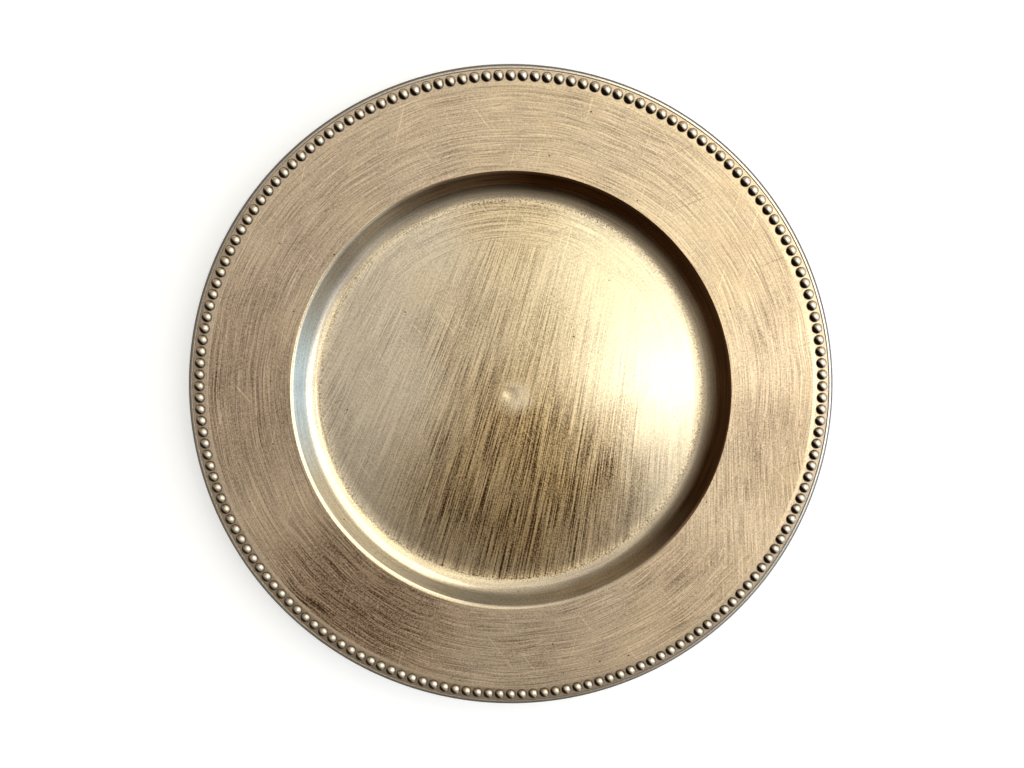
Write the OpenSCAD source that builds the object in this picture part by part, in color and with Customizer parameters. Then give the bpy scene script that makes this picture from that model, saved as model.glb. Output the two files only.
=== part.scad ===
// Charger plate with a beaded rim, 13 inch class: a wide, nearly flat rim round a shallow well,
// moulded with one even wall. The foot ring stands on z = 0 and the plate's axis is Z.

/* [Plate] */
// Outside diameter of the plate
plate_d = 330; // [280:1:360]
// Wall of the moulding, the same from the floor to the bead band
wall = 2.2; // [1.6:0.1:2.8]

/* [Well] */
// Diameter of the well, where its shoulder meets the rim
well_d = 229; // [200:1:240]
// Depth of the well, from the shoulder's edge down to the floor
well_depth = 9.5; // [7.5:0.1:12]
// Steepest slope of the well's side, in degrees
side_slope = 48; // [40:1:54]
// Slope that the floor's eased edge reaches where the cove begins, in degrees
ease_slope = 7; // [3:0.5:12]
// Radius of that eased edge
ease_r = 48; // [20:1:60]
// Radius of the hollow cove between the eased edge and the side
cove_r = 12.5; // [8:0.5:16]
// Radius of the rounded shoulder between the side and the rim
shoulder_r = 3.2; // [3:0.1:5]
// Diameter of the shallow sink mark opposite the moulding gate
sink_d = 11; // [6:0.5:16]
// Depth of the sink mark
sink_depth = 0.25; // [0.15:0.05:0.5]

/* [Rim] */
// Upward slope of the rim, from the shoulder to the bead band, in degrees
rim_slope = 7.5; // [3:0.5:12]
// Flat margin between the rim and the foot of the beads
inner_margin = 2; // [1:0.1:4]
// Flat margin between the beads and the step of the edge
outer_margin = 0.9; // [0.5:0.1:2]
// Width of the rounded edge outside that step
edge_w = 2.5; // [1.6:0.1:3]
// Height of the edge's crest above the bead band
edge_step = 0.45; // [0.3:0.05:0.8]
// Depth of the edge, from its crest to its underside
edge_h = 3.4; // [3.2:0.1:5]

/* [Beads] */
// Diameter of one bead at its foot
bead_d = 5; // [3.5:0.1:6]
// Clear space between two beads on the bead circle
bead_space = 0.94; // [0.6:0.02:2]

/* [Foot] */
// Distance that the foot ring's root keeps from the floor's edge
foot_inset = 0.6; // [0.4:0.1:20]
// Height of the foot ring
foot_h = 2; // [1.5:0.1:4]
// Width of the tread that the plate stands on
tread_w = 2.2; // [1.5:0.1:4]
// Taper that each side of the foot ring gains towards its root
foot_taper = 0.5; // [0.2:0.05:1]
// Diameter of the gate recess under the floor
gate_d = 9; // [5:0.5:14]
// Depth of the gate recess
gate_depth = 0.6; // [0.3:0.1:1]

/* [Hidden] */
$fn = 180;

// Colours of the leafed face and of the bare moulding underneath
leaf_gold = [0.74, 0.63, 0.45];
bead_gold = [0.78, 0.68, 0.52];
bare_brown = [0.13, 0.10, 0.08];

// Overrun of every cutting shape past what it cuts
over = 1;

// Heights of the floor's upper face and of the shoulder's edge
floor_z = foot_h + wall;
shoulder_z = floor_z + well_depth;

// Straight stretch of the side, between the cove and the shoulder
straight_run = (well_depth - ease_r * (1 - cos(ease_slope))
                - cove_r * (cos(ease_slope) - cos(side_slope))
                - shoulder_r * (cos(rim_slope) - cos(side_slope))) / sin(side_slope);

// Radii where the shoulder ends, where it begins, where the cove begins, and of the flat floor
shoulder_end_r = well_d / 2;
shoulder_start_r = shoulder_end_r - shoulder_r * (sin(side_slope) - sin(rim_slope));
cove_start_r = shoulder_start_r - straight_run * cos(side_slope)
               - cove_r * (sin(side_slope) - sin(ease_slope));
floor_r = cove_start_r - ease_r * sin(ease_slope);

// Radii of the bead circle, of the band that carries it, and of the step
step_r = plate_d / 2 - edge_w;
bead_ring_r = step_r - outer_margin - bead_d / 2;
band_start_r = bead_ring_r - bead_d / 2 - inner_margin;
bead_count = floor(2 * PI * bead_ring_r / (bead_d + bead_space));

// Heights of the bead band's upper face and of the edge's crest
band_z = shoulder_z + (band_start_r - shoulder_end_r) * tan(rim_slope);
band_t = wall / cos(rim_slope);
crest_z = band_z + edge_step;

// Half width of the foot ring at its root, and the radius of its middle
root_half = tread_w / 2 + foot_taper;
foot_r = floor_r - foot_inset - root_half;

// Radius of the sphere that presses a sink mark of the given width and depth
function cap_r(width, depth) = (pow(width / 2, 2) + pow(depth, 2)) / (2 * depth);

// Point at a distance from the origin, in a direction given in degrees
function polar(distance, angle) = distance * [cos(angle), sin(angle)];

// Part of a ring between two directions, at most a third of a turn apart
module arc_strip(inner_r, outer_r, from_a, to_a) {
    reach = (outer_r + over) / cos((to_a - from_a) / 2);
    intersection() {
        difference() {
            circle(r = outer_r);
            circle(r = inner_r);
        }
        polygon([[0, 0], polar(reach, from_a), polar(reach, to_a)]);
    }
}

// Flat disc of the well with its eased edge, a sink mark above and the gate recess below
module well_floor() {
    press_r = cap_r(sink_d, sink_depth);
    color(leaf_gold) difference() {
        rotate_extrude() {
            translate([0, foot_h]) square([floor_r, wall]);
            translate([floor_r, floor_z + ease_r]) arc_strip(ease_r, ease_r + wall, -90, ease_slope - 90);
        }
        translate([0, 0, floor_z - sink_depth + press_r]) sphere(r = press_r);
        translate([0, 0, foot_h - over]) cylinder(h = over + gate_depth, d = gate_d);
    }
}

// Section of the cove, side and shoulder, turned so that the side is level; the cove's centre is the origin
module side_section() {
    turn = side_slope - rim_slope;
    arc_strip(cove_r, cove_r + wall, ease_slope - side_slope - 90, -90);
    translate([0, -cove_r - wall]) square([straight_run, wall]);
    translate([straight_run, -cove_r - shoulder_r]) arc_strip(shoulder_r - wall, shoulder_r, 90 - turn, 90);
}

// Hollow cove, straight side and rounded shoulder in one even wall
module well_side() {
    color(leaf_gold) rotate_extrude() translate([floor_r, floor_z + ease_r])
        rotate(ease_slope) translate([0, cove_r - ease_r]) rotate(side_slope - ease_slope) side_section();
}

// Wide, gently rising rim
module rim_flange() {
    down = wall * [sin(rim_slope), -cos(rim_slope)];
    inner = [shoulder_end_r, shoulder_z];
    color(leaf_gold) rotate_extrude()
        polygon([inner, [band_start_r, band_z], [band_start_r, band_z - band_t], inner + down]);
}

// Level band that the beads stand on
module bead_band() {
    color(leaf_gold) translate([0, 0, band_z - band_t]) difference() {
        cylinder(h = band_t, r = step_r);
        translate([0, 0, -over]) cylinder(h = band_t + 2 * over, r = band_start_r);
    }
}

// One half-round bead, standing on z = 0
module bead() {
    rotate_extrude() intersection() {
        circle(d = bead_d);
        square(bead_d / 2);
    }
}

// Ring of separate beads at an even pitch
module rim_beads() {
    color(bead_gold) for (i = [0 : bead_count - 1])
        rotate(i * 360 / bead_count) translate([bead_ring_r, 0, band_z]) bead();
}

// Rounded outer edge that stands a little proud of the bead band
module edge_lip() {
    color(leaf_gold) rotate_extrude() {
        intersection() {
            translate([step_r, crest_z - edge_w]) circle(r = edge_w);
            translate([step_r, crest_z - edge_w]) square(edge_w);
        }
        translate([step_r, crest_z - edge_h]) square([edge_w, edge_h - edge_w]);
    }
}

// Tapered ring that the plate stands on
module foot_ring() {
    tread = tread_w / 2;
    color(bare_brown) rotate_extrude() translate([foot_r, 0])
        polygon([[-tread, 0], [tread, 0], [root_half, foot_h], [-root_half, foot_h]]);
}

well_floor();
well_side();
rim_flange();
bead_band();
rim_beads();
edge_lip();
foot_ring();
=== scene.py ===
"""Dresses a leafed charger plate: spun mouldings, a ring of beads, its finishes, the studio and the camera.

Every length is in metres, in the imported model's own frame: the plate's axis is Z and it stands on z = 0.
"""

from __future__ import annotations

import logging
import math
from dataclasses import dataclass
from enum import Enum

import bmesh
import bpy
from mathutils import Matrix, Vector

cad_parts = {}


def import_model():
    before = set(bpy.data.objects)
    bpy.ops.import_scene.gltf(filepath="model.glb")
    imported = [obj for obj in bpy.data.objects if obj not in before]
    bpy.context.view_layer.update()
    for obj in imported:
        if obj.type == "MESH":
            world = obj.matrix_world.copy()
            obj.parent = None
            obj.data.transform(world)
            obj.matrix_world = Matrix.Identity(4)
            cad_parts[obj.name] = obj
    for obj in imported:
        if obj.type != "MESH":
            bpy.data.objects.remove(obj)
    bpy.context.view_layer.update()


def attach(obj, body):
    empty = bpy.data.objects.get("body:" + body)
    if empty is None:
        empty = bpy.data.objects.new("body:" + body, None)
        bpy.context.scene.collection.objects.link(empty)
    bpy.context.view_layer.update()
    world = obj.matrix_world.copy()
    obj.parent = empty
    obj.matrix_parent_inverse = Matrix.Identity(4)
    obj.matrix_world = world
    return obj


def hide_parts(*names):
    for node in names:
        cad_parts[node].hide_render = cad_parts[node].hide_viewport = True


Tree = bpy.types.NodeTree
Socket = bpy.types.NodeSocket
Material = bpy.types.Material
Mesh = bmesh.types.BMesh
Outputs = bpy.types.NodeOutputs

LOG = logging.getLogger("charger_plate")
MM = 0.001
UP = Vector((0.0, 0.0, 1.0))
# Distance within which two vertices of a spun mesh are one, and the angle past which an edge is sharp, in degrees
WELD = 0.0001 * MM
SHARP = 32.0


def linear(hex_code: str) -> tuple[float, float, float, float]:
    """Turns an sRGB hex colour into linear light.

    Args:
        hex_code: the colour as #RRGGBB.

    Returns:
        Its linear red, green and blue, and full alpha.
    """
    parts = [int(hex_code[i : i + 2], 16) / 255 for i in (1, 3, 5)]
    low = [p / 12.92 if p <= 0.04045 else ((p + 0.055) / 1.055) ** 2.4 for p in parts]
    return low[0], low[1], low[2], 1.0


def heading(azimuth: float, off_vertical: float) -> Vector:
    """Direction from the plate, from an azimuth and an angle off the vertical, both in degrees."""
    leaning = Matrix.Rotation(math.radians(off_vertical), 3, "Y") @ UP
    return Matrix.Rotation(math.radians(azimuth), 3, "Z") @ leaning


def blank(name: str) -> tuple[Material, Tree]:
    """Makes a material with an empty node tree.

    Args:
        name: the material's name.

    Returns:
        The material and its tree.
    """
    made = bpy.data.materials.new(name)
    made.use_nodes = True
    made.node_tree.nodes.clear()
    return made, made.node_tree


def add(tree: Tree, kind: str, inputs: dict[str | int, object] | None = None, **settings: object) -> Outputs:
    """Adds one node with its settings and links.

    Inputs 0 to 4 of a MapRange are its value, its range and the range that it gives; a Mix's 6 and 7 are its colours.

    Args:
        tree: the node tree that it goes into.
        kind: its type, without Blender's ShaderNode prefix.
        inputs: a value or an output socket for each input, by name or number.
        settings: its own properties, by name.

    Returns:
        The new node's outputs.
    """
    node = tree.nodes.new("ShaderNode" + kind)
    for name, value in settings.items():
        setattr(node, name, value)
    for key, value in (inputs or {}).items():
        if isinstance(value, bpy.types.NodeSocket):
            tree.links.new(value, node.inputs[key])
        else:
            node.inputs[key].default_value = value
    return node.outputs


class Brush(Enum):
    """Way in which the leaf was brushed on."""

    FANNED = "straight strokes that fan out slightly"
    ROUND = "strokes that follow the rim"
    WIPED = "wiped smooth, with hardly any stroke left"


@dataclass(frozen=True)
class RoundPlace:
    """Round place on the plate that differs from the rest, in full over an inner share of its reach."""

    x: float
    y: float
    reach: float
    most: float
    full: float = 0.25


@dataclass(frozen=True)
class PaintedShade:
    """Painted shade, dark and matt: the side of every bead away from the light, the crease round its foot, and the
    step.
    """

    # The bead circle, the number of beads, a bead's foot, the step, and how dark a bead's side is at most
    ring_r: float
    count: int
    foot_r: float
    step_r: float
    most: float
    # Where that shaded side faces and how far its painted shade reaches; the half width of a crease, and the share of
    # it that is full
    azimuth: float = 222.0
    reach: float = 0.9 * MM
    line: float = 0.35 * MM
    line_full: float = 0.3
    # Painted shade in the crease round each bead's foot and along the step
    foot_dark: float = 0.75
    step_dark: float = 0.375


@dataclass(frozen=True)
class Spot:
    """A leaf's node tree, and a place on the plate: as it is, without its height, and how far from the axis."""

    tree: Tree
    place: Socket
    flat: Socket
    radius: Socket


@dataclass(frozen=True)
class GoldLeaf:
    """Antique champagne leaf, brushed on a dark ground and lacquered.

    It reads as soft metal: broad highlights, fine dark brush grooves, and brown patches where the leaf is thinner.
    """

    name: str
    brush: Brush
    # Sound leaf, its paler patches, thin leaf, the dark ground under it, and the painted shade by the beads and the
    # step
    colour: str = "#F3DFBF"
    pale: str = "#F8E9D0"
    thin: str = "#E0BF8A"
    groove: str = "#472B12"
    shade_colour: str = "#20150C"
    # Satin leaf under a thin glossy coat, and the matt painted shade
    roughness: float = 0.28
    coat: float = 0.3
    coat_roughness: float = 0.1
    shaded_roughness: float = 0.6
    # On sound and on thin leaf: the share of ground that shows, and the strength of strokes and of grain
    ground: tuple[float, float] = (0.15, 0.58)
    strokes: tuple[float, float] = (0.45, 2.05)
    grains: tuple[float, float] = (0.5, 1.1)
    # Strokes: depth, widths, lengths, the broad ones' share, how far round ones stray and over what; then the grain
    depth: float = 0.02 * MM
    fine: float = 0.44 * MM
    fine_length: float = 26 * MM
    broad: float = 1.1 * MM
    broad_length: float = 45 * MM
    broad_share: float = 0.1
    wobble: float = 0.0
    drift: float = 35 * MM
    grain: float = 0.8 * MM
    # Size of the leaf's uneven patches, where they turn pale, and where they wear thin, and how thin
    patch: float = 40 * MM
    pale_range: tuple[float, float] = (0.35, 0.65)
    thin_range: tuple[float, float] = (0.5, 0.75)
    rubbed: float = 0.08
    rubbed_more: float = 0.2
    # Round places where the leaf turns more to its thin colour, with stronger strokes, and places where more of the
    # ground shows
    thin_places: tuple[RoundPlace, ...] = ()
    dims: tuple[RoundPlace, ...] = ()
    # Where straight strokes fan out from, how far they reach, and the sectors of either kind: middle and half width
    fan: tuple[float, float] = (100 * MM, 368 * MM)
    fan_edge: float = 80 * MM
    fan_sector: tuple[float, float] = (337.0, 16.0)
    round_sector: tuple[float, float] = (72.0, 62.0)
    # Ragged seam between them: the size of its steps, how far they reach each way, and how soft it is
    seam: float = 9 * MM
    seam_turn: float = 0.2
    seam_shift: float = 20 * MM
    seam_soft: tuple[float, float] = (0.04, 3 * MM)
    # Dark pits
    pit: float = 0.3 * MM
    pit_spacing: float = 13 * MM
    pit_fade: float = 1.8
    pit_dark: float = 0.7
    # Scratches, and for each way that they run its direction and its depth, which is negative for bright ones
    scratch: float = 0.75 * MM
    scratch_length: float = 34 * MM
    scratch_range: tuple[float, float] = (0.26, 0.34)
    scratched: tuple[tuple[float, float], ...] = ((128.0, -0.3), (75.0, -0.25), (22.0, 0.15))
    # The floor's border, its coarse grain (near, far and strength), and the roughness and wear that it adds
    border_r: float = 101.4 * MM
    border_reach: float = 4 * MM
    border_grain: tuple[float, float, float] = (0.4 * MM, 2.0 * MM, 1.1)
    border: tuple[float, float] | None = None
    # Painted shade in the cove, on the side that faces away from the light: where it starts, where it is full, its
    # azimuth, and its range to the side
    cove_shade: tuple[float, float, float] | None = None
    cove_shade_side: tuple[float, float] = (-0.1, 0.65)
    # Painted shade by the beads and along the step
    painted_shade: PaintedShade | None = None

    def material(self) -> Material:
        """Makes the leaf's material.

        Returns:
            The material, with its pattern on Object coordinates.
        """
        made, tree = blank(self.name)
        place = add(tree, "TexCoord")["Object"]
        flat = add(tree, "VectorMath", {0: place, 1: (1, 1, 0)}, operation="MULTIPLY")[0]
        radius = add(tree, "VectorMath", {0: flat}, operation="LENGTH")["Value"]
        on = Spot(tree, place, flat, radius)
        patches = add(tree, "TexNoise", {"Vector": place, "Scale": 1 / self.patch, "Roughness": 0.6})["Fac"]
        # How far the leaf turns to its thin colour; on the cove this includes painted shade
        worn = self.worn(on, patches)
        marks = self.marks(on, worn)
        low, high = self.pale_range
        tone = add(tree, "MapRange", {0: patches, 1: low, 2: high})[0]
        low, high = self.ground
        ground = add(tree, "MapRange", {0: worn, 3: low, 4: high})[0]
        dim = self.patched(on, ground, self.dims)
        dark = add(tree, "Math", {0: marks, 1: dim}, operation="ADD")[0]
        dark = add(tree, "Math", {0: dark, 1: self.pits(on)}, operation="ADD", use_clamp=True)[0]
        stack = [(tone, self.pale), (worn, self.thin), (dark, self.groove)]
        rough, coat = self.roughness, self.coat
        if self.border is not None:
            off = self.bordered(on)
            rough = add(tree, "MapRange", {0: off, 3: rough, 4: self.border[0]})[0]
        # Painted shade by the beads and the step: dark, matt, and without the coat
        if self.painted_shade is not None:
            shaded = self.shaded(on, self.painted_shade)
            stack.append((shaded, self.shade_colour))
            rough = add(tree, "MapRange", {0: shaded, 3: rough, 4: self.shaded_roughness})[0]
            coat = add(tree, "MapRange", {0: shaded, 3: coat, 4: 0.0})[0]
        colour = linear(self.colour)
        for share, over in stack:
            colour = add(tree, "Mix", {0: share, 6: colour, 7: linear(over)}, data_type="RGBA")[2]
        bump = add(tree, "Bump", {"Height": marks, "Distance": self.depth}, invert=True)
        looks = {"Base Color": colour, "Metallic": 1.0, "Roughness": rough, "Normal": bump["Normal"]}
        looks |= {"Coat Weight": coat, "Coat Roughness": self.coat_roughness}
        shader = add(tree, "BsdfPrincipled", looks)
        add(tree, "OutputMaterial", {"Surface": shader[0]})
        return made

    def bordered(self, on: Spot) -> Socket:
        """Adds how near the floor's border a place outside it is, from 0 to 1."""
        near = {0: on.radius, 1: self.border_r, 2: self.border_r + self.border_reach, 3: 1.0, 4: 0.0}
        return add(on.tree, "MapRange", near)[0]

    def facing(self, on: Spot, azimuth: float) -> Socket:
        """Adds the cosine of a place's angle from an azimuth."""
        toward = add(on.tree, "VectorMath", {0: on.flat}, operation="NORMALIZE")[0]
        return add(on.tree, "VectorMath", {0: toward, 1: heading(azimuth, 90)}, operation="DOT_PRODUCT")["Value"]

    def patched(self, on: Spot, total: Socket, places: tuple[RoundPlace, ...]) -> Socket:
        """Adds soft round places to a value.

        Args:
            on: the place and its tree.
            total: the value.
            places: the round places, and what each adds at most.

        Returns:
            The new value, kept from 0 to 1.
        """
        for wear in places:
            away = add(on.tree, "VectorMath", {0: on.flat, 1: (wear.x, wear.y, 0)}, operation="DISTANCE")
            fade = {0: away["Value"], 1: wear.reach, 2: wear.full * wear.reach, 4: wear.most}
            near = add(on.tree, "MapRange", fade, interpolation_type="SMOOTHSTEP")[0]
            total = add(on.tree, "Math", {0: total, 1: near}, operation="ADD", use_clamp=True)[0]
        return total

    def worn(self, on: Spot, patches: Socket) -> Socket:
        """Adds how far the leaf turns thin: patches, listed places, the floor's border, and painted shade on one side
        of the cove.

        Args:
            on: the place and its tree.
            patches: the leaf's broad unevenness.

        Returns:
            How far it turns to its thin colour, from 0 to 1.
        """
        low, high = self.thin_range
        thin = {0: patches, 1: low, 2: high, 3: self.rubbed, 4: self.rubbed + self.rubbed_more}
        total = add(on.tree, "MapRange", thin, clamp=False)[0]
        total = self.patched(on, total, self.thin_places)
        if self.border is not None:
            more = {0: self.bordered(on), 1: self.border[1], 2: total}
            total = add(on.tree, "Math", more, operation="MULTIPLY_ADD", use_clamp=True)[0]
        if self.cove_shade is None:
            return total
        # Painted shade on the cove's side that faces away from the light
        start_r, full_r, azimuth = self.cove_shade
        low, high = self.cove_shade_side
        ring = add(on.tree, "MapRange", {0: on.radius, 1: start_r, 2: full_r})[0]
        side = add(on.tree, "MapRange", {0: self.facing(on, azimuth), 1: low, 2: high})[0]
        side_shade = add(on.tree, "Math", {0: ring, 1: side}, operation="MULTIPLY")[0]
        return add(on.tree, "Math", {0: total, 1: side_shade}, operation="ADD", use_clamp=True)[0]

    def shaded(self, on: Spot, painted_shade: PaintedShade) -> Socket:
        """Adds painted shade on the side of every bead away from the light, in the crease round its foot and along
        the step.

        Args:
            on: the place and its tree.
            painted_shade: where the shade is painted.

        Returns:
            How dark it is, from 0 to 1.
        """
        tree = on.tree
        pitch = math.tau / painted_shade.count
        split = add(tree, "SeparateXYZ", {0: on.flat})
        angle = add(tree, "Math", {0: split["Y"], 1: split["X"]}, operation="ARCTAN2")[0]
        angle = add(tree, "Math", {0: angle, 1: pitch / 2}, operation="ADD")[0]
        angle = add(tree, "Math", {0: angle, 1: pitch}, operation="SNAP")[0]
        x, y = (add(tree, "Math", {0: angle}, operation=part)[0] for part in ("COSINE", "SINE"))
        middle = add(tree, "CombineXYZ", {"X": x, "Y": y})[0]
        away = add(tree, "VectorMath", {0: middle, 1: (-painted_shade.ring_r,) * 3, 2: on.flat}, operation="MULTIPLY_ADD")[0]
        # Painted shade on the side of each bead that faces away from the light
        side = add(tree, "VectorMath", {0: away, 1: heading(painted_shade.azimuth, 90)}, operation="DOT_PRODUCT")
        total = add(tree, "MapRange", {0: side["Value"], 2: painted_shade.reach, 4: painted_shade.most})[0]
        away = add(tree, "VectorMath", {0: away}, operation="LENGTH")["Value"]
        # Painted shade in the crease round each bead's foot and along the step
        for distance, edge, dark in ((away, painted_shade.foot_r, painted_shade.foot_dark), (on.radius, painted_shade.step_r, painted_shade.step_dark)):
            off = add(tree, "Math", {0: distance, 1: edge}, operation="SUBTRACT")[0]
            off = add(tree, "Math", {0: off}, operation="ABSOLUTE")[0]
            near = add(tree, "MapRange", {0: off, 1: painted_shade.line_full * painted_shade.line, 2: painted_shade.line, 3: dark, 4: 0.0})[0]
            total = add(tree, "Math", {0: total, 1: near}, operation="MAXIMUM")[0]
        return total

    def pits(self, on: Spot) -> Socket:
        """Adds small dark pits, where dust sat under the leaf.

        Args:
            on: the place and its tree.

        Returns:
            How dark a place is, from 0 to pit_dark.
        """
        size = self.pit / self.pit_spacing
        near = add(on.tree, "TexVoronoi", {"Vector": on.place, "Scale": 1 / self.pit_spacing})["Distance"]
        return add(on.tree, "MapRange", {0: near, 1: size, 2: self.pit_fade * size, 3: self.pit_dark, 4: 0.0})[0]

    def streaks(self, on: Spot, way: Socket, width: float, length: float) -> Socket:
        """Adds one layer of streaks.

        Args:
            on: the place and its tree.
            way: the distance across the streaks, and the place along them.
            width: the streaks' width.
            length: their length.

        Returns:
            Their depth, 0 on average.
        """
        scaled = add(on.tree, "VectorMath", {0: way, 1: (1 / width, 1 / length, 1 / length)}, operation="MULTIPLY")[0]
        noise = add(on.tree, "TexNoise", {"Vector": scaled, "Scale": 1.0, "Detail": 0.0})["Fac"]
        return add(on.tree, "Math", {0: noise, 1: 0.5}, operation="SUBTRACT")[0]

    def scratches(self, on: Spot, angle: float) -> Socket:
        """Adds a few thin straight scratches.

        Args:
            on: the place and its tree.
            angle: their direction, in degrees from +X.

        Returns:
            How deep they are, from 0 to 1.
        """
        turned = add(on.tree, "VectorRotate", {0: on.flat, "Angle": math.radians(90 - angle)}, rotation_type="Z_AXIS")
        split = add(on.tree, "SeparateXYZ", {0: turned[0]})
        # The height is there only to give each direction scratches of its own
        way = add(on.tree, "CombineXYZ", {"X": split["X"], "Y": split["Y"], "Z": angle * MM})
        streak = self.streaks(on, way[0], self.scratch, self.scratch_length)
        low, high = self.scratch_range
        return add(on.tree, "MapRange", {0: streak, 1: low, 2: high})[0]

    def fanned(self, on: Spot) -> Socket:
        """Adds the share of straight strokes from place to place; the others follow the rim.

        Args:
            on: the place and its tree.

        Returns:
            That share, from 0 to 1, with ragged borders.
        """
        tree = on.tree
        jitter = add(tree, "TexNoise", {"Vector": on.flat, "Scale": 1 / self.seam, "Detail": 2.0})["Fac"]
        middle, half = self.round_sector if self.brush is Brush.FANNED else self.fan_sector
        facing = self.facing(on, middle)
        ragged = add(tree, "Math", {0: jitter, 1: self.seam_turn, 2: facing}, operation="MULTIPLY_ADD")[0]
        least = math.cos(math.radians(half)) + self.seam_turn / 2
        soft_turn, soft = self.seam_soft
        inside = add(tree, "MapRange", {0: ragged, 1: least - soft_turn, 2: least + soft_turn})[0]
        if self.brush is Brush.ROUND:
            return inside
        far = add(tree, "Math", {0: jitter, 1: self.seam_shift, 2: on.radius}, operation="MULTIPLY_ADD")[0]
        edge = self.fan_edge + self.seam_shift / 2
        outer = add(tree, "MapRange", {0: far, 1: edge - soft, 2: edge + soft})[0]
        rounded = add(tree, "Math", {0: inside, 1: outer}, operation="MULTIPLY")[0]
        return add(tree, "Math", {0: 1.0, 1: rounded}, operation="SUBTRACT")[0]

    def layers(self, on: Spot, across: Socket) -> Socket:
        """Adds fine strokes with a few broader ones under them.

        Args:
            on: the place and its tree.
            across: the distance across the strokes, which tells one stroke from the next.

        Returns:
            Their depth, 0 on average.
        """
        split = add(on.tree, "SeparateXYZ", {0: on.flat})
        way = add(on.tree, "CombineXYZ", {"X": across, "Y": split["X"], "Z": split["Y"]})[0]
        fine = self.streaks(on, way, self.fine, self.fine_length)
        broad = self.streaks(on, way, self.broad, self.broad_length)
        return add(on.tree, "Math", {0: broad, 1: self.broad_share, 2: fine}, operation="MULTIPLY_ADD")[0]

    def brushed(self, on: Spot) -> Socket:
        """Adds the brush strokes, at an even depth.

        Args:
            on: the place and its tree.

        Returns:
            Their depth, 0 on average.
        """
        tree = on.tree
        drift = add(tree, "TexNoise", {"Vector": on.flat, "Scale": 1 / self.drift, "Detail": 1.0})["Fac"]
        around = add(tree, "Math", {0: drift, 1: self.wobble, 2: on.radius}, operation="MULTIPLY_ADD")[0]
        rounded = self.layers(on, around)
        if self.brush is Brush.WIPED:
            return rounded
        apart = add(tree, "VectorMath", {0: on.flat, 1: (*self.fan, 0)}, operation="SUBTRACT")[0]
        split = add(tree, "SeparateXYZ", {0: apart})
        angle = add(tree, "Math", {0: split["X"], 1: split["Y"]}, operation="ARCTAN2")[0]
        aside = add(tree, "Math", {0: angle, 1: math.hypot(*self.fan)}, operation="MULTIPLY")[0]
        straight = self.layers(on, aside)
        share = self.fanned(on)
        return add(tree, "Mix", {0: share, 2: rounded, 3: straight}, data_type="FLOAT")[0]

    def marks(self, on: Spot, worn: Socket) -> Socket:
        """Adds the brush strokes, the leaf's grain and a few scratches.

        Args:
            on: the place and its tree.
            worn: how far the leaf turns to its thin colour, painted shade in the cove included.

        Returns:
            How deep and dark they are, 0 on average.
        """
        tree = on.tree
        # Real strokes and grains are 0.1 to 0.3 mm wide and are drawn coarser, so that they show
        low, high = self.strokes
        gain = add(tree, "MapRange", {0: worn, 3: low, 4: high})[0]
        total = add(tree, "Math", {0: self.brushed(on), 1: gain}, operation="MULTIPLY")[0]
        grain = add(tree, "TexNoise", {"Vector": on.place, "Scale": 1 / self.grain, "Detail": 0.0})["Fac"]
        grain = add(tree, "Math", {0: grain, 1: 0.5}, operation="SUBTRACT")[0]
        off = add(tree, "Math", {0: on.radius, 1: self.border_r}, operation="SUBTRACT")[0]
        off = add(tree, "Math", {0: off}, operation="ABSOLUTE")[0]
        near, far, most = self.border_grain
        ragged = add(tree, "MapRange", {0: off, 1: near, 2: far, 3: most, 4: 0.0})[0]
        low, high = self.grains
        coarse = add(tree, "MapRange", {0: worn, 3: low, 4: high})[0]
        coarse = add(tree, "Math", {0: coarse, 1: ragged}, operation="ADD")[0]
        total = add(tree, "Math", {0: grain, 1: coarse, 2: total}, operation="MULTIPLY_ADD")[0]
        if self.brush is Brush.WIPED:
            return total
        for angle, deep in self.scratched:
            total = add(tree, "Math", {0: self.scratches(on, angle), 1: deep, 2: total}, operation="MULTIPLY_ADD")[0]
        return total


@dataclass(frozen=True)
class BarePlastic:
    """Dark brown polypropylene, injection moulded and left bare underneath: satin, with a fine mould grain."""

    name: str = "bare_brown_polypropylene"
    colour: str = "#241C17"
    worn: str = "#352A22"
    roughness: float = 0.38
    ior: float = 1.49
    grain: float = 1.2 * MM
    grain_depth: float = 0.006 * MM
    clouds_per_metre: float = 30.0

    def material(self) -> Material:
        """Makes the bare plastic's material.

        Returns:
            The material, with its pattern on Object coordinates.
        """
        made, tree = blank(self.name)
        place = add(tree, "TexCoord")["Object"]
        # Mould grain is about 0.2 mm and is drawn coarser, so that it shows
        grain = add(tree, "TexNoise", {"Vector": place, "Scale": 1 / self.grain, "Detail": 2.0})["Fac"]
        cloud = add(tree, "TexNoise", {"Vector": place, "Scale": self.clouds_per_metre, "Detail": 4.0})["Fac"]
        colour = add(tree, "Mix", {0: cloud, 6: linear(self.colour), 7: linear(self.worn)}, data_type="RGBA")[2]
        bump = add(tree, "Bump", {"Height": grain, "Distance": self.grain_depth})["Normal"]
        looks = {"Base Color": colour, "Roughness": self.roughness, "IOR": self.ior, "Normal": bump}
        shader = add(tree, "BsdfPrincipled", looks)
        add(tree, "OutputMaterial", {"Surface": shader[0]})
        return made


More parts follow.
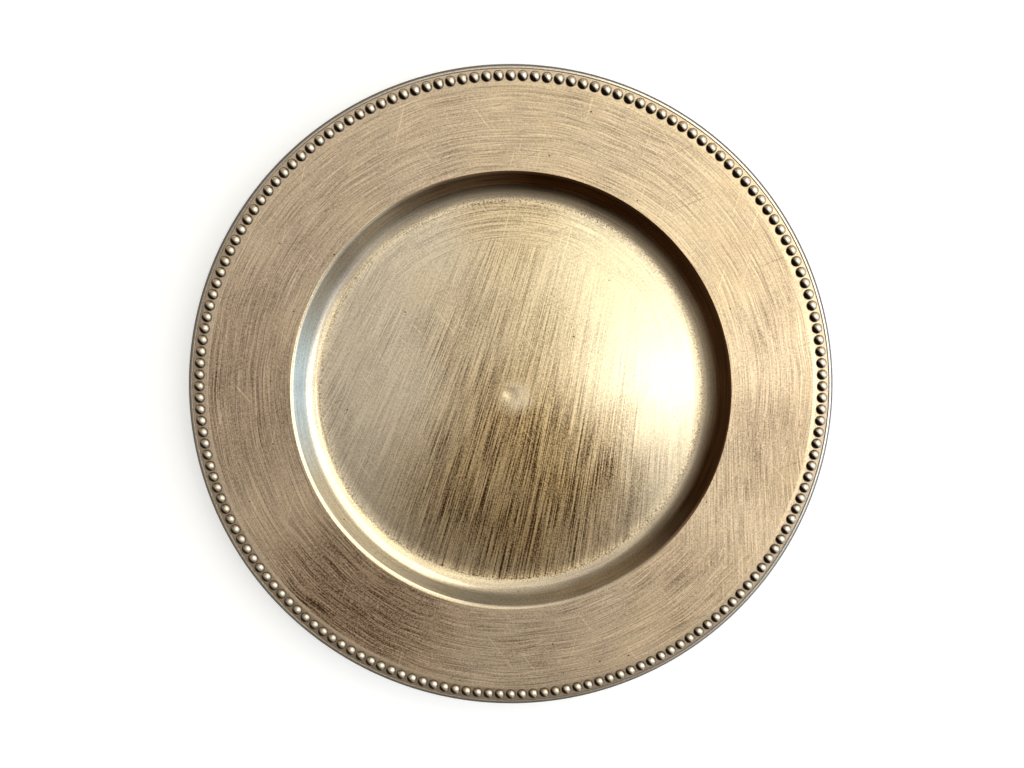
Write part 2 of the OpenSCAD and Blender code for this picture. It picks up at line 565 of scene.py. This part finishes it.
class Pen:
    """Draws a section in the XZ plane, as one chain of edges."""

    def __init__(self, x: float, z: float, direction: float = 0.0) -> None:
        """Puts the pen down at x, z, facing a direction in degrees above +X."""
        self.mesh = bmesh.new()
        self.first = self.mesh.verts.new((x, 0.0, z))
        self.last = self.first
        self.direction = direction

    def ahead(self, angle: float = 0.0) -> Vector:
        """Unit vector at an angle to the left of the pen's direction, in degrees."""
        turned = math.radians(self.direction + angle)
        return Vector((math.cos(turned), 0.0, math.sin(turned)))

    def turn(self, angle: float) -> Pen:
        """Turns the pen in place, to the left for a positive angle in degrees."""
        self.direction += angle
        return self

    def go(self, length: float, steps: int = 1) -> Pen:
        """Draws a straight line.

        Args:
            length: its length.
            steps: the number of edges in it.

        Returns:
            The pen.
        """
        for _ in range(steps):
            grown = bmesh.ops.extrude_vert_indiv(self.mesh, verts=[self.last])["verts"]
            bmesh.ops.translate(self.mesh, verts=grown, vec=self.ahead() * (length / steps))
            self.last = grown[0]
        return self

    def bend(self, radius: float, angle: float, steps: int) -> Pen:
        """Draws an arc that leaves in the pen's direction.

        Args:
            radius: the arc's radius.
            angle: how far it turns, to the left for a positive angle in degrees.
            steps: the number of edges in it.

        Returns:
            The pen.
        """
        side = math.copysign(90, angle)
        grown = bmesh.ops.spin(
            self.mesh,
            geom=[self.last],
            cent=self.last.co + self.ahead(side) * radius,
            axis=(0.0, -1.0, 0.0),
            angle=math.radians(angle),
            steps=steps,
        )["geom_last"]
        self.last = next(g for g in grown if isinstance(g, bmesh.types.BMVert))
        return self.turn(angle)

    def close(self) -> Pen:
        """Joins the line's end to its start."""
        self.mesh.edges.new((self.last, self.first))
        return self

    def spun(self, steps: int) -> Mesh:
        """Turns the section once round the plate's axis.

        Args:
            steps: the number of facets round.

        Returns:
            The closed mesh.
        """
        bmesh.ops.spin(
            self.mesh,
            geom=self.mesh.verts[:] + self.mesh.edges[:],
            cent=(0.0, 0.0, 0.0),
            axis=UP,
            angle=math.tau,
            steps=steps,
            use_merge=True,
        )
        bmesh.ops.remove_doubles(self.mesh, verts=self.mesh.verts, dist=WELD)
        bmesh.ops.recalc_face_normals(self.mesh, faces=self.mesh.faces)
        return self.mesh


@dataclass(frozen=True)
class Moulding:
    """Sizes of the whole moulding, the same as in the part's source."""

    plate_r: float = 165 * MM
    wall: float = 2.2 * MM
    well_r: float = 114.5 * MM
    well_depth: float = 9.5 * MM
    side_slope: float = 48.0
    ease_slope: float = 7.0
    ease_r: float = 48 * MM
    cove_r: float = 12.5 * MM
    shoulder_r: float = 3.2 * MM
    rim_slope: float = 7.5
    edge_w: float = 2.5 * MM
    edge_step: float = 0.45 * MM
    foot_h: float = 2 * MM
    inner_margin: float = 2 * MM
    outer_margin: float = 0.9 * MM
    bead_r: float = 2.5 * MM
    bead_space: float = 0.94 * MM
    facets: int = 384

    @property
    def floor_z(self) -> float:
        """Height of the floor's upper face."""
        return self.foot_h + self.wall

    @property
    def straight_run(self) -> float:
        """Length of the side's straight stretch."""
        ease, side, rim = (math.cos(math.radians(a)) for a in (self.ease_slope, self.side_slope, self.rim_slope))
        bends = self.ease_r * (1 - ease) + self.cove_r * (ease - side) + self.shoulder_r * (rim - side)
        return (self.well_depth - bends) / math.sin(math.radians(self.side_slope))

    @property
    def floor_r(self) -> float:
        """Radius of the flat part of the floor."""
        ease, side, rim = (math.sin(math.radians(a)) for a in (self.ease_slope, self.side_slope, self.rim_slope))
        run = self.shoulder_r * (side - rim) + self.straight_run * math.cos(math.radians(self.side_slope))
        return self.well_r - run - self.cove_r * (side - ease) - self.ease_r * ease

    @property
    def step_r(self) -> float:
        """Radius of the step inside the edge."""
        return self.plate_r - self.edge_w

    @property
    def bead_ring_r(self) -> float:
        """Radius of the circle that the beads stand on."""
        return self.step_r - self.outer_margin - self.bead_r

    @property
    def band_start_r(self) -> float:
        """Radius where the level bead band begins."""
        return self.bead_ring_r - self.bead_r - self.inner_margin

    @property
    def band_z(self) -> float:
        """Height of the bead band's upper face."""
        rise = (self.band_start_r - self.well_r) * math.tan(math.radians(self.rim_slope))
        return self.floor_z + self.well_depth + rise

    @property
    def margin_z(self) -> float:
        """Height where the flange's face meets the band's sloping inner margin."""
        return self.band_z - self.inner_margin * math.tan(math.radians(self.rim_slope))

    @property
    def bead_count(self) -> int:
        """Number of beads round the band."""
        return math.floor(math.tau * self.bead_ring_r / (2 * self.bead_r + self.bead_space))

    @property
    def band_t(self) -> float:
        """Thickness of the bead band."""
        return self.wall / math.cos(math.radians(self.rim_slope))


def half_ball(radius: float, around: int, rings: int) -> Mesh:
    """Makes the upper half of a ball about the origin, open below.

    Args:
        radius: the ball's radius.
        around: the number of facets round it.
        rings: the number of rings in the whole ball.

    Returns:
        Its mesh.
    """
    mesh = bmesh.new()
    bmesh.ops.create_uvsphere(mesh, u_segments=around, v_segments=rings, radius=radius)
    whole = mesh.verts[:] + mesh.edges[:] + mesh.faces[:]
    bmesh.ops.bisect_plane(mesh, geom=whole, plane_co=(0, 0, 0), plane_no=UP, clear_inner=True)
    return mesh


def finished(mesh: Mesh, node: str, finishes: list[Material], dress: str = "leafed") -> None:
    """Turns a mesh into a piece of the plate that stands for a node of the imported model.

    Args:
        mesh: its mesh, which is freed.
        node: the node that it replaces.
        finishes: its materials, in the order of its faces' material numbers.
        dress: what its name says of its finish, after the node.
    """
    name = f"{node}_{dress}"
    data = bpy.data.meshes.new(name)
    for face in mesh.faces:
        face.smooth = True
    mesh.to_mesh(data)
    mesh.free()
    data.set_sharp_from_angle(angle=math.radians(SHARP))
    for finish in finishes:
        data.materials.append(finish)
    piece = bpy.data.objects.new(name, data)
    bpy.context.scene.collection.objects.link(piece)
    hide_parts(node)
    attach(piece, "root")
    LOG.info("%s: %d faces", name, len(data.polygons))


def bare_below(mesh: Mesh, least: float = -0.05) -> None:
    """Gives the second material to the faces that look down.

    Args:
        mesh: the piece's mesh.
        least: the least upward part of a leafed face's normal.
    """
    for face in mesh.faces:
        face.material_index = int(face.normal.z < least)


@dataclass
class Well:
    """The well: its flat floor with an eased edge, and its side."""

    moulding: Moulding
    sink_r: float = 5.5 * MM
    sink_depth: float = 0.22 * MM
    gate_r: float = 4.5 * MM
    gate_depth: float = 0.6 * MM
    # Edges in each line of the section; the bends of the side have fewer below than above
    flat_steps: int = 6
    ease_steps: int = 12
    side_steps: int = 2
    cove_steps: tuple[int, int] = (24, 20)
    shoulder_steps: tuple[int, int] = (20, 12)

    def floor_mesh(self) -> Mesh:
        """Spins the floor, with the soft sink mark above and the gate recess below.

        Returns:
            Its mesh.
        """
        m = self.moulding
        sweep = 2 * math.degrees(math.atan(self.sink_depth / self.sink_r))
        dish_r = self.sink_r / (2 * math.sin(math.radians(sweep)))
        pen = Pen(0.0, m.floor_z - self.sink_depth)
        pen.bend(dish_r, sweep, self.flat_steps).bend(dish_r, -sweep, self.flat_steps)
        pen.go(m.floor_r - self.sink_r, self.flat_steps).bend(m.ease_r, m.ease_slope, self.ease_steps)
        pen.turn(-90).go(m.wall).turn(-90).bend(m.ease_r + m.wall, -m.ease_slope, self.ease_steps)
        pen.go(m.floor_r - self.gate_r, self.flat_steps).turn(-90).go(self.gate_depth).turn(90).go(self.gate_r)
        return pen.spun(m.facets)

    def side_mesh(self) -> Mesh:
        """Spins the cove, the straight side and the shoulder.

        Returns:
            Its mesh.
        """
        m = self.moulding
        ease = math.radians(m.ease_slope)
        start_r = m.floor_r + m.ease_r * math.sin(ease)
        start_z = m.floor_z + m.ease_r * (1 - math.cos(ease))
        cove = m.side_slope - m.ease_slope
        shoulder = m.side_slope - m.rim_slope
        pen = Pen(start_r, start_z, m.ease_slope)
        pen.bend(m.cove_r, cove, self.cove_steps[0]).go(m.straight_run, self.side_steps)
        pen.bend(m.shoulder_r, -shoulder, self.shoulder_steps[0]).turn(-90).go(m.wall).turn(-90)
        pen.bend(m.shoulder_r - m.wall, shoulder, self.shoulder_steps[1]).go(m.straight_run, self.side_steps)
        return pen.bend(m.cove_r + m.wall, -cove, self.cove_steps[1]).close().spun(m.facets)

    def build(self, leaf: dict[str, GoldLeaf], bare: Material) -> None:
        """Makes and dresses the floor and the side.

        Args:
            leaf: the leaf for each slot.
            bare: the underside's plastic.
        """
        for mesh, node, slot in (
            (self.floor_mesh(), "well_floor", "floor_leaf"),
            (self.side_mesh(), "well_side", "side_leaf"),
        ):
            bare_below(mesh)
            finished(mesh, node, [leaf[slot].material(), bare])


@dataclass
class Rim:
    """The rim: the flange, the level band, the beads on it and the rounded edge."""

    moulding: Moulding
    # Half of the flange's hollow bend, in degrees
    hollow: float = 1.5
    edge_h: float = 3.4 * MM
    # Radius of the edge's arris at the step
    arris: float = 0.3 * MM
    # Where the leaf ends on the edge, in degrees from its crest, and how far a face of the step looks inwards
    leaf_reach: float = 22.0
    inward: float = 0.5
    # Height of a bead, as a share of half a ball's
    bead_rise: float = 0.7
    bead_facets: int = 14
    bead_rings: int = 8
    # Edges in each line of the sections
    flange_steps: tuple[int, int] = (16, 10)
    band_steps: tuple[int, int] = (2, 3)
    edge_steps: int = 24
    arris_steps: int = 4

    def flange_mesh(self) -> Mesh:
        """Spins the wide flange, slightly hollow above.

        Returns:
            Its mesh.
        """
        m = self.moulding
        slope = math.radians(m.rim_slope)
        across = m.band_start_r - m.well_r
        rise = m.margin_z - m.floor_z - m.well_depth
        run = math.hypot(across, rise)
        seen = math.degrees(math.atan2(rise, across))
        bow_r = run / (2 * math.sin(math.radians(self.hollow)))
        pen = Pen(m.well_r, m.floor_z + m.well_depth, seen - self.hollow)
        above, below = self.flange_steps
        pen.bend(bow_r, 2 * self.hollow, above).turn(-90 - self.hollow - seen).go(m.margin_z - m.band_z + m.band_t)
        pen.turn(m.rim_slope - 90).go(across / math.cos(slope) - m.wall * math.tan(slope), below).close()
        return pen.spun(m.facets)

    def band_mesh(self) -> Mesh:
        """Spins the band that carries the beads; its inner margin carries on the flange's slope.

        Returns:
            Its mesh.
        """
        m = self.moulding
        width = m.step_r - m.band_start_r
        above, below = self.band_steps
        pen = Pen(m.band_start_r, m.margin_z, m.rim_slope)
        pen.go(m.inner_margin / math.cos(math.radians(m.rim_slope)), above).turn(-m.rim_slope)
        pen.go(width - m.inner_margin, above).turn(-90).go(m.band_t).turn(-90).go(width, below).close()
        return pen.spun(m.facets)

    def edge_mesh(self) -> Mesh:
        """Spins the rounded edge, which stands a little proud of the band.

        Returns:
            Its mesh.
        """
        m = self.moulding
        pen = Pen(m.step_r, m.band_z + m.edge_step - self.edge_h, 90)
        pen.go(self.edge_h - self.arris, 2).bend(self.arris, -90, self.arris_steps)
        pen.bend(m.edge_w - self.arris, -90, self.edge_steps).go(self.edge_h - m.edge_w + self.arris).close()
        return pen.spun(m.facets)

    def beads_mesh(self) -> Mesh:
        """Makes one domed bead, a little flatter than half a ball, and repeats it round the band.

        Returns:
            The beads' mesh.
        """
        m = self.moulding
        count = m.bead_count
        mesh = half_ball(m.bead_r, self.bead_facets, self.bead_rings)
        bmesh.ops.holes_fill(mesh, edges=mesh.edges)
        bmesh.ops.scale(mesh, verts=mesh.verts, vec=(1, 1, self.bead_rise))
        bmesh.ops.translate(mesh, verts=mesh.verts, vec=(m.bead_ring_r, 0, m.band_z))
        bmesh.ops.spin(
            mesh,
            geom=mesh.verts[:] + mesh.edges[:] + mesh.faces[:],
            cent=(0.0, 0.0, 0.0),
            axis=UP,
            angle=math.tau * (count - 1) / count,
            steps=count - 1,
            use_duplicate=True,
        )
        bmesh.ops.recalc_face_normals(mesh, faces=mesh.faces)
        LOG.info("beads: %d", count)
        return mesh

    def build(self, leaf: dict[str, GoldLeaf], rubbed: BarePlastic, bare: Material) -> None:
        """Makes and dresses the flange, the band, the edge and the beads.

        Args:
            leaf: the leaf for each slot.
            rubbed: the edge's side, where the leaf has gone.
            bare: the underside's plastic.
        """
        for mesh, node, slot in (
            (self.flange_mesh(), "rim_flange", "rim_leaf"),
            (self.band_mesh(), "bead_band", "band_leaf"),
        ):
            bare_below(mesh)
            finished(mesh, node, [leaf[slot].material(), bare])
        edge = self.edge_mesh()
        bare_below(edge, math.cos(math.radians(self.leaf_reach)))
        for face in edge.faces:
            if face.normal.dot(face.calc_center_median().normalized()) < -self.inward:
                face.material_index = 0
        finished(edge, "edge_lip", [leaf["edge_leaf"].material(), rubbed.material()])
        finished(self.beads_mesh(), "rim_beads", [leaf["bead_leaf"].material()])


@dataclass
class Foot:
    """The low ring that the plate stands on."""

    moulding: Moulding
    inset: float = 0.6 * MM
    tread_w: float = 2.2 * MM
    taper: float = 0.5 * MM
    round_r: float = 0.35 * MM
    round_steps: int = 6

    def mesh(self) -> Mesh:
        """Spins the tapered ring, with rounded edges at its tread.

        Returns:
            Its mesh.
        """
        m = self.moulding
        root = self.tread_w / 2 + self.taper
        middle = m.floor_r - self.inset - root
        lean = math.degrees(math.atan(self.taper / m.foot_h))
        side = math.hypot(self.taper, m.foot_h)
        back = self.round_r * math.tan(math.radians(45 - lean / 2))
        pen = Pen(middle - root, m.foot_h, lean - 90)
        pen.go(side - back).bend(self.round_r, 90 - lean, self.round_steps).go(self.tread_w - 2 * back)
        pen.bend(self.round_r, 90 - lean, self.round_steps).go(side - back).close()
        return pen.spun(m.facets)

    def build(self, bare: Material) -> None:
        """Makes and dresses the ring in the bare plastic."""
        finished(self.mesh(), "foot_ring", [bare], "bare")


@dataclass(frozen=True)
class Glow:
    """One soft glow on the studio's dome."""

    azimuth: float
    off_vertical: float
    colour: tuple[float, float, float]
    power: float


@dataclass(frozen=True)
class Lamp:
    """One soft area lamp, facing straight down unless it is turned to the plate; its colour is linear light."""

    name: str
    place: Vector
    size: tuple[float, float]
    radiance: float
    colour: tuple[float, float, float]
    level: bool = True


@dataclass
class Studio:
    """The pale floor, the dim dome that the leaf mirrors, the lamps and the camera."""

    moulding: Moulding
    reach: float = 4.0
    floor_colour: str = "#F2F1EF"
    floor_facets: int = 96
    # How white the paper looks near the plate and far away, and the shares of the reach between which it changes
    floor_shine: float = 0.45
    far_shine: float = 0.85
    shine_reach: tuple[float, float] = (0.15, 0.5)
    dome_facets: int = 64
    dome_dark: float = 0.015
    glows: tuple[Glow, ...] = (
        Glow(0, 0, (0.22, 0.20, 0.18), 1.5),
        Glow(320, 75, (0.28, 0.29, 0.30), 8.0),
        Glow(352, 82, (0.55, 0.95, 1.5), 24.0),
        Glow(350, 50, (0.1, 0.3, 0.7), 20.0),
        Glow(28, 74, (0.62, 0.60, 0.52), 6.0),
        Glow(328, 38, (0.55, 0.58, 0.62), 16.0),
        Glow(85, 45, (0.35, 0.35, 0.35), 8.0),
        Glow(118, 78, (0.2, 0.16, 0.1), 12.0),
        Glow(190, 76, (0.17, 0.16, 0.14), 4.0),
    )
    lamps: tuple[Lamp, ...] = (
        Lamp("softbox_right", heading(25, 44) * 2.5, (3.5, 1.6), 1.65, (1.0, 0.98, 0.93), level=False),
        Lamp("ceiling_board", Vector((0.325, 0.71, 3.05)), (3.15, 2.78), 0.48, (0.97, 0.99, 1.0)),
        Lamp("ceiling_panel", Vector((0.79, 0.2, 3.0)), (1.22, 1.4), 0.86, (0.98, 1.0, 0.6)),
        Lamp("small_lamp", Vector((0.383, -0.142, 1.5)), (0.13, 0.13), 12.0, (1.0, 0.98, 0.95)),
    )
    # The camera's distance along its tilted axis, where that axis meets the plate, and its focal length in pixels
    camera_distance: float = 400 * MM
    camera_tilt: float = 6.1
    axis_hit: tuple[float, float] = (0.67 * MM, 6.9 * MM)
    focal_px: float = 779.6
    frame_px: int = 1024
    sensor: float = 36.0
    near_clip: float = 10 * MM

    def stage_piece(self, name: str, mesh: Mesh, finish: Material) -> bpy.types.Object:
        """Makes an object of the studio, which isn't part of the plate.

        Args:
            name: its name.
            mesh: its mesh, which is freed.
            finish: its material.

        Returns:
            The new object.
        """
        data = bpy.data.meshes.new(name)
        mesh.to_mesh(data)
        mesh.free()
        data.materials.append(finish)
        made = bpy.data.objects.new(name, data)
        bpy.context.scene.collection.objects.link(made)
        return made

    def build_floor(self) -> None:
        """Lays the pale floor: matt paper that looks white, also far away, and still takes the plate's shadow."""
        paper, tree = blank("pale_studio_paper")
        matt = add(tree, "BsdfDiffuse", {"Color": linear(self.floor_colour)})
        ray = add(tree, "LightPath")
        shown = ray["Is Camera Ray"]
        for other in ("Is Glossy Ray", "Is Transmission Ray"):
            shown = add(tree, "Math", {0: shown, 1: ray[other]}, operation="MAXIMUM")[0]
        place = add(tree, "TexCoord")["Object"]
        away = add(tree, "VectorMath", {0: place}, operation="LENGTH")["Value"]
        near, far = (share * self.reach for share in self.shine_reach)
        shine = add(tree, "MapRange", {0: away, 1: near, 2: far, 3: self.floor_shine, 4: self.far_shine})[0]
        lift = add(tree, "Math", {0: shown, 1: shine}, operation="MULTIPLY")
        glow = add(tree, "Emission", {"Color": (1, 1, 1, 1), "Strength": lift[0]})
        both = add(tree, "AddShader", {0: matt[0], 1: glow[0]})
        add(tree, "OutputMaterial", {"Surface": both[0]})
        mesh = bmesh.new()
        bmesh.ops.create_circle(mesh, cap_ends=True, radius=self.reach, segments=self.floor_facets)
        self.stage_piece("studio_floor", mesh, paper)

    def build_dome(self) -> None:
        """Sets up the dim dome over the plate, which only the leaf and the floor see."""
        cloth, tree = blank("dim_studio_dome")
        place = add(tree, "TexCoord")["Object"]
        way = add(tree, "VectorMath", {0: place}, operation="NORMALIZE")[0]
        total = (self.dome_dark,) * 3
        for glow in self.glows:
            axis = heading(glow.azimuth, glow.off_vertical)
            near = add(tree, "VectorMath", {0: way, 1: axis}, operation="DOT_PRODUCT")["Value"]
            near = add(tree, "Math", {0: near, 1: 0.0}, operation="MAXIMUM")[0]
            near = add(tree, "Math", {0: near, 1: glow.power}, operation="POWER")[0]
            total = add(tree, "VectorMath", {0: near, 1: glow.colour, 2: total}, operation="MULTIPLY_ADD")[0]
        shine = add(tree, "Emission", {"Color": total})
        add(tree, "OutputMaterial", {"Surface": shine[0]})
        mesh = half_ball(self.reach, self.dome_facets, self.dome_facets // 2)
        bmesh.ops.reverse_faces(mesh, faces=mesh.faces)
        dome = self.stage_piece("studio_dome", mesh, cloth)
        dome.visible_camera = False
        dome.visible_shadow = False

    def hang(self, lamp: Lamp) -> None:
        """Hangs a soft area lamp.

        Args:
            lamp: the lamp.
        """
        wide, high = lamp.size
        light = bpy.data.lights.new(lamp.name, "AREA")
        light.shape = "RECTANGLE"
        light.size, light.size_y = lamp.size
        light.color = lamp.colour
        light.energy = lamp.radiance * math.pi * wide * high
        made = bpy.data.objects.new(lamp.name, light)
        turn = Matrix.Identity(4) if lamp.level else lamp.place.to_track_quat("Z", "Y").to_matrix().to_4x4()
        made.matrix_world = Matrix.Translation(lamp.place) @ turn
        made.visible_camera = False
        bpy.context.scene.collection.objects.link(made)

    def light(self) -> None:
        """Hangs the lamps and sets a plain white world."""
        for lamp in self.lamps:
            self.hang(lamp)
        world = bpy.data.worlds.new("white_room")
        world.use_nodes = True
        world.node_tree.nodes["Background"].inputs["Color"].default_value = (1, 1, 1, 1)
        bpy.context.scene.world = world

    def set_camera(self) -> None:
        """Places the camera above the plate, tilted a little from the top of the picture."""
        m = self.moulding
        tilt = math.radians(self.camera_tilt)
        plane = m.band_z + m.edge_step - m.edge_w
        away = Vector((0.0, math.sin(tilt), math.cos(tilt)))
        lens = bpy.data.cameras.new("camera")
        lens.sensor_width = self.sensor
        lens.lens = self.focal_px / self.frame_px * self.sensor
        lens.clip_start = self.near_clip
        camera = bpy.data.objects.new("camera", lens)
        camera.location = Vector((*self.axis_hit, plane)) + away * self.camera_distance
        camera.rotation_euler = (-tilt, 0.0, 0.0)
        bpy.context.scene.collection.objects.link(camera)
        bpy.context.scene.camera = camera

    def build(self) -> None:
        """Sets up the whole studio."""
        self.set_camera()
        self.build_floor()
        self.build_dome()
        self.light()
        bpy.context.scene.view_settings.view_transform = "Standard"


def leaves(moulding: Moulding) -> dict[str, GoldLeaf]:
    """Lists the leaf on each piece: the same throughout, but for its tone, its wear, its strokes and its painted
    shade.

    Args:
        moulding: the plate's sizes, which say where the painted shade by the beads and the step goes.

    Returns:
        The leaf for each of the record's slots.
    """
    beaded = (moulding.bead_ring_r, moulding.bead_count, moulding.bead_r, moulding.step_r)
    return {
        "floor_leaf": GoldLeaf(
            "fanned_gold_leaf",
            Brush.FANNED,
            thin_places=(
                RoundPlace(2 * MM, -55 * MM, 86 * MM, 0.9),
                RoundPlace(-4 * MM, 28 * MM, 62 * MM, 0.36),
                RoundPlace(0.0, 95 * MM, 45 * MM, 0.4),
                RoundPlace(3 * MM, -2 * MM, 13 * MM, -0.5),
            ),
            dims=(
                RoundPlace(3 * MM, -2 * MM, 9 * MM, -0.08),
                RoundPlace(66 * MM, -52 * MM, 48 * MM, 0.13),
                RoundPlace(0.0, 80 * MM, 40 * MM, -0.1),
            ),
        ),
        "side_leaf": GoldLeaf(
            "wiped_gold_leaf",
            Brush.WIPED,
            colour="#EFDBB8",
            pale="#F3E2C4",
            thin="#9A6430",
            roughness=0.22,
            ground=(0.12, 0.75),
            strokes=(0.3, 0.8),
            grains=(0.35, 0.2),
            depth=0.004 * MM,
            rubbed=0.02,
            border=(0.34, 0.12),
            # Painted shade on the cove's upper right, which faces away from the light
            cove_shade=(105.0 * MM, 109.5 * MM, 30.0),
        ),
        "rim_leaf": GoldLeaf(
            "round_gold_leaf",
            Brush.ROUND,
            colour="#F0D6B4",
            pale="#F5DFC3",
            thin="#CFAF8C",
            ground=(0.22, 0.6),
            strokes=(0.65, 1.45),
            grains=(0.35, 1.1),
            fine=0.38 * MM,
            fine_length=20 * MM,
            broad_share=0.04,
            wobble=4 * MM,
            rubbed=0.17,
            thin_places=(
                RoundPlace(-85 * MM, -112 * MM, 80 * MM, 0.6),
                RoundPlace(-150 * MM, 0.0, 90 * MM, 0.2),
                RoundPlace(97 * MM, -106 * MM, 55 * MM, 0.15),
            ),
            dims=(
                RoundPlace(-85 * MM, -112 * MM, 80 * MM, 0.11),
                RoundPlace(10 * MM, -140 * MM, 75 * MM, 0.08),
                RoundPlace(141 * MM, -25 * MM, 55 * MM, 0.24),
                RoundPlace(125 * MM, 62 * MM, 55 * MM, 0.14),
                RoundPlace(-150 * MM, 0.0, 90 * MM, 0.11),
                RoundPlace(-95 * MM, 95 * MM, 60 * MM, 0.08),
                RoundPlace(-5 * MM, 136 * MM, 55 * MM, 0.04),
            ),
        ),
        "band_leaf": GoldLeaf(
            "band_gold_leaf",
            Brush.WIPED,
            colour="#F0D6B4",
            pale="#F5DFC3",
            ground=(0.25, 0.5),
            strokes=(0.4, 0.8),
            grains=(0.4, 0.8),
            # Painted shade round each bead's foot and along the step
            painted_shade=PaintedShade(*beaded, most=0.0),
        ),
        "bead_leaf": GoldLeaf(
            "bead_gold_leaf",
            Brush.WIPED,
            colour="#F6E8D2",
            # Colour of the painted shade by the beads
            shade_colour="#33251A",
            roughness=0.4,
            ground=(0.05, 0.3),
            strokes=(0.2, 0.3),
            grains=(0.4, 0.5),
            # Painted shade on each bead's side away from the light, round its foot and along the step
            painted_shade=PaintedShade(*beaded, most=1.0),
        ),
        "edge_leaf": GoldLeaf(
            "edge_gold_leaf",
            Brush.WIPED,
            colour="#F4EAD8",
            pale="#F6EEDF",
            ground=(0.1, 0.4),
            strokes=(0.3, 0.6),
            grains=(0.5, 0.8),
            # Painted shade along the step
            painted_shade=PaintedShade(*beaded, most=0.0),
        ),
    }


def main() -> None:
    """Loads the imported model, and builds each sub-assembly."""
    logging.basicConfig(level=logging.INFO, format="%(message)s")
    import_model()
    moulding = Moulding()
    Studio(moulding).build()
    leaf = leaves(moulding)
    bare = BarePlastic().material()
    rubbed = BarePlastic("rubbed_brown_polypropylene", colour="#5E544A", worn="#756A5E")
    Well(moulding).build(leaf, bare)
    Rim(moulding).build(leaf, rubbed, bare)
    Foot(moulding).build(bare)


if __name__ == "__main__":
    main()
